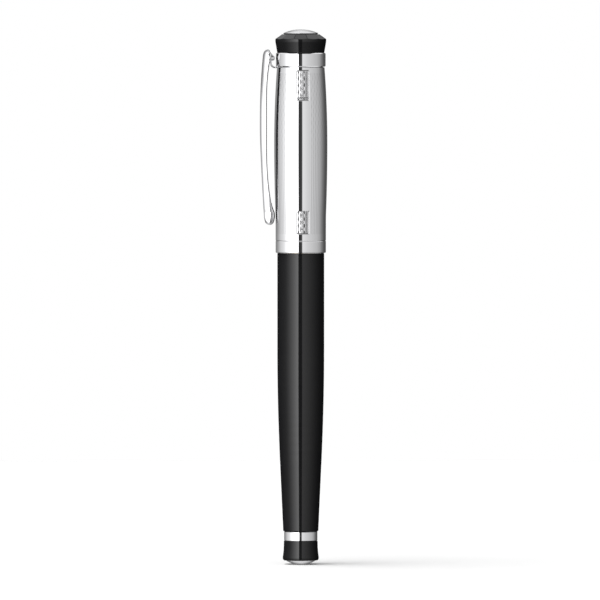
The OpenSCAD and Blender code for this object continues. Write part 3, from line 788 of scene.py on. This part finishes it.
def build_crown():
    half = 180 / FACETS
    angles = np.linspace(0, 2 * math.pi, 720, endpoint=False)
    from_facet = (np.degrees(angles) - FACET_TURN + half) % (2 * half) - half
    z = np.concatenate([np.linspace(RING_TOP + 0.05, CROWN_WIDE_Z, 12, endpoint=False),
                        np.linspace(CROWN_WIDE_Z, CROWN_TOP - 0.05, 36)])[:, None]
    side = at_height(CROWN_SIDE, z)
    facet = (FACET_IN_R + (CROWN_TOP - z) / FACET_SLOPE) / np.cos(np.radians(from_facet))
    outer = smooth_min(side, facet, 0.1)
    division = groove(np.radians(half - np.abs(from_facet)) * outer, DIVISION_HALF)
    division = division * smooth_step(side - facet, -0.05, 0.1)
    radius = outer - DIVISION_DEPTH * division
    below = [(0, SCREW_HOLE_TOP), (SCREW_HOLE_R, SCREW_HOLE_TOP), (SCREW_HOLE_R, RING_BOTTOM),
             (SPIGOT_R, RING_BOTTOM), (SPIGOT_R, RING_TOP), (6.03, RING_TOP)]
    seat = [(SEAT_R, CROWN_TOP), (SEAT_R, SEAT_Z), (0, SEAT_Z)]
    above = [(radius[-1] - 0.06, CROWN_TOP), *seat]
    radius, height = stacked(below, radius, z, above)
    dull_and_shade = np.zeros_like(radius)
    # Painted shade: the divisions between the facets lose their gloss and show dark
    dull_and_shade[len(below):len(below) + len(z)] = DIVISION_SHADE * division
    sharp = [*range(len(below)), *range(len(radius) - len(seat), len(radius))]
    ring_object("crown_facetted", radius, height, angles, sharp, dull_and_shade,
                "cap", "crown_lacquer", "crown")


def build_crown_medallion():
    from_axis = np.linspace(RIM_R - 0.12, 0, 16)
    dome = np.sqrt(DOME_R ** 2 - from_axis ** 2)
    outline = [
        (0, SEAT_Z), (MEDALLION_R, SEAT_Z), (MEDALLION_R, RIM_TOP - 0.32), (RIM_R, RIM_TOP - 0.1),
        *bezier((RIM_R, RIM_TOP - 0.08), (RIM_R, RIM_TOP), (RIM_R - 0.08, RIM_TOP), 4),
        *np.stack([from_axis, RIM_TOP + dome - dome[0]], axis=-1),
    ]
    radius, height = np.array(outline).T[:, :, None]
    # The undercut below the rim is painted dark, as shade in the gap under it
    dull_and_shade = np.isin(np.arange(len(outline)), (2, 3))[:, None] * 1.0
    angles = np.linspace(0, 2 * math.pi, 144, endpoint=False)
    ring_object("medallion_domed", radius, height, angles, [1, 2, 3, 8], dull_and_shade,
                "cap", "medallion_silver", "crown_medallion")


# Thread ---------------------------------------------------------------------------------

SECTION_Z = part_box("grip_section")[0][2] / MM
MOUTH_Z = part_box("barrel_bush")[1][2] / MM
BUSH_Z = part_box("barrel_bush")[0][2] / MM
PITCH = 1.0
THREAD_TURNS = 5
THREAD_LOW = MOUTH_Z - 6.4
THREAD_HIGH = THREAD_LOW + THREAD_TURNS * PITCH
THREAD_DEPTH = 0.4
# Shares of the pitch: half a ridge's foot, and its flank
RIDGE_HALF = 0.42
RIDGE_FLANK = 0.28
# The sleeve between its ridges, and the bush on top of its own
SLEEVE_ROOT_R = 4.1
BUSH_CREST_R = 4.55
MOUTH_CHAMFER = 0.4
# The sleeve's bore, its part in the section with its top, its collar, and the bush's outside
SLEEVE_BORE_R = 3.2
SLEEVE_R = 4.2
SLEEVE_TOP = SECTION_Z + 5.9
COLLAR_R = 4.5
BUSH_R = 5.3


def thread(angles, z):
    """Height from 0 to 1 of a right-hand thread that fades in and out at its ends."""
    turn = ((z - THREAD_LOW) / PITCH - angles / (2 * math.pi)) % 1
    ridge = np.clip((RIDGE_HALF - np.abs(turn - 0.5)) / RIDGE_FLANK, 0, 1)
    return ridge * plateau(z, THREAD_LOW, THREAD_HIGH, PITCH)


def build_thread(name, before, z, root, after, *place):
    """A turned body whose rows at the heights z carry the thread, with plain rings around them."""
    angles = np.linspace(0, 2 * math.pi, 96, endpoint=False)
    radius, height = stacked(before, root + THREAD_DEPTH * thread(angles, z[:, None]), z, after)
    sharp = [*range(len(before)), *range(len(before) + len(z), len(radius))]
    ring_object(name, radius, height, angles, sharp, 0.0, *place)


def build_threads():
    z = np.linspace(THREAD_LOW + 0.1, THREAD_HIGH, 70)
    build_thread(
        "sleeve_threaded", [(SLEEVE_BORE_R, THREAD_LOW), (4.0, THREAD_LOW)], z, SLEEVE_ROOT_R,
        [(SLEEVE_ROOT_R, MOUTH_Z - 0.75), (COLLAR_R, MOUTH_Z - 0.35), (COLLAR_R, SECTION_Z),
         (SLEEVE_R, SECTION_Z), (SLEEVE_R, SLEEVE_TOP), (SLEEVE_BORE_R, SLEEVE_TOP)],
        "section", "sleeve_brass", "thread_sleeve")
    build_thread(
        "bush_threaded",
        [(BUSH_R, BUSH_Z), (BUSH_R, MOUTH_Z), (BUSH_CREST_R + MOUTH_CHAMFER, MOUTH_Z),
         (BUSH_CREST_R, MOUTH_Z - MOUTH_CHAMFER)],
        z[::-1], BUSH_CREST_R, [(BUSH_CREST_R, BUSH_Z)], "barrel", "bush_brass", "barrel_bush")


build_shell()
build_clip()
build_bracket()
build_crown()
build_crown_medallion()
build_threads()


# Studio ---------------------------------------------------------------------------------

# A direction is given by its degrees from -Y towards +X, and its degrees up
CAMERA_FROM = (-4.5, 1.75)
CAMERA_DISTANCE = 3.01
CAMERA_AIM = (-0.2 * MM, 0.0, 68.2 * MM)
LENS = 700
SENSOR = 36

# Light around the pen: degrees to the right of the camera, and brightness
STUDIO = (
    (-180, 0.8), (-175, 0.28), (-150, 0.3), (-130, 0.43), (-120, 0.58), (-104, 0.82),
    (-91, 0.94), (-85, 1.03), (-79, 1.13), (-66, 1.65), (-55, 2.15), (-34, 3.15), (-13.5, 4.4),
    (-10, 0.055), (5, 0.055), (8.5, 1.0), (18, 0.94), (32, 0.84), (50, 0.76), (70, 0.66),
    (80, 0.62), (93, 0.5), (100, 0.45), (107, 0.32), (115, 0.24), (124, 0.17),
    (134, 0.1), (165, 0.1), (175, 0.3), (180, 0.8),
)
BRIGHTEST = 4.4
# Share of that light that is left towards the floor
FLOOR_SHARE = 0.45
# Heights of the light's direction between which ceiling and floor take over, and their brightness
OVERHEAD = (0.38, 0.6, 1.15)
UNDERFOOT = (-0.5, -0.8, 1.05)
BACKDROP = 1.0
# The lamp: the side it shines from, its width in degrees, and its strength
KEY_FROM = (-80, 72)
KEY_SPREAD = 44
KEY_STRENGTH = 9.6
# The floor's radius and height in metres
FLOOR_R = 0.6
FLOOR_Z = -0.02 * MM


def direction(azimuth, elevation):
    """The unit vector of a direction in degrees."""
    azimuth, elevation = math.radians(azimuth), math.radians(elevation)
    return Vector((math.sin(azimuth) * math.cos(elevation),
                   -math.cos(azimuth) * math.cos(elevation), math.sin(elevation)))


def build_camera():
    back = direction(*CAMERA_FROM)
    data = bpy.data.cameras.new("camera")
    data.lens = LENS
    data.sensor_width = SENSOR
    data.clip_start, data.clip_end = 0.1, 20
    camera = bpy.data.objects.new("camera", data)
    camera.location = Vector(CAMERA_AIM) + back * CAMERA_DISTANCE
    camera.rotation_euler = (-back).to_track_quat("-Z", "Y").to_euler()
    scene.collection.objects.link(camera)
    scene.camera = camera


def build_studio_light():
    """Soft boxes, flags and ceiling as light by direction; the camera itself sees plain white."""
    world = bpy.data.worlds.new("studio")
    world.use_nodes = True
    scene.world = world
    tree = Tree(world.node_tree)
    from_camera = tree.add(
        "VectorRotate",
        {"Vector": tree.add("TexCoord", out="Generated"), "Axis": (0, 0, 1),
         "Angle": math.radians(90 - CAMERA_FROM[0])},
        rotation_type="AXIS_ANGLE",
    )
    x, y, height = (tree.add("SeparateXYZ", {"Vector": from_camera}, out=axis) for axis in range(3))
    around = tree.math("MULTIPLY_ADD", tree.math("ARCTAN2", y, x), 0.5 / math.pi, 0.5)
    ramp_colour = tree.add("ValToRGB", {"Fac": around})
    ramp = ramp_colour.node.color_ramp
    for azimuth, _ in STUDIO[1:-1]:
        ramp.elements.new(azimuth / 360 + 0.5)
    for element, (azimuth, brightness) in zip(ramp.elements, STUDIO):
        element.position = azimuth / 360 + 0.5
        element.color = (*[brightness / BRIGHTEST] * 3, 1)
    walls = tree.math("MULTIPLY", ramp_colour, BRIGHTEST)
    share = tree.span(height, -0.3, -0.08, FLOOR_SHARE, 1.0, smooth=True)
    light = tree.math("MULTIPLY", walls, share)
    for low, high, brightness in (OVERHEAD, UNDERFOOT):
        part = tree.span(height, low, high, 0.0, 1.0, smooth=True)
        light = tree.between(part, light, brightness)
    light = tree.between(tree.add("LightPath", out="Is Camera Ray"), light, BACKDROP)
    tree.add("OutputWorld", {"Surface": tree.add("Background", {"Color": light})})


def build_key_light():
    """A broad lamp at the left front, which only gives the soft shadow on the floor."""
    data = bpy.data.lights.new("key", "SUN")
    data.energy = KEY_STRENGTH
    data.angle = math.radians(KEY_SPREAD)
    lamp = bpy.data.objects.new("key", data)
    lamp.rotation_euler = direction(*KEY_FROM).to_track_quat("Z", "Y").to_euler()
    lamp.visible_glossy = False
    scene.collection.objects.link(lamp)


def build_floor():
    bpy.ops.mesh.primitive_circle_add(vertices=128, radius=FLOOR_R, fill_type="NGON",
                                      location=(0, 0, FLOOR_Z))
    floor = bpy.context.object
    floor.name = "floor"
    floor.visible_glossy = False

    def build(tree):
        clouds = tree.noise(20, detail=2)
        return {
            "Base Color": tree.tint(clouds, (0.245, 0.245, 0.245), (0.255, 0.255, 0.255)),
            "Roughness": 0.9,
            "Specular IOR Level": 0.0,
            "Emission Color": (1, 1, 1, 1),
            "Emission Strength": 0.05,
        }

    floor.data.materials.append(surface("floor", build))


scene.view_settings.view_transform = "Standard"
build_camera()
build_studio_light()
build_key_light()
build_floor()
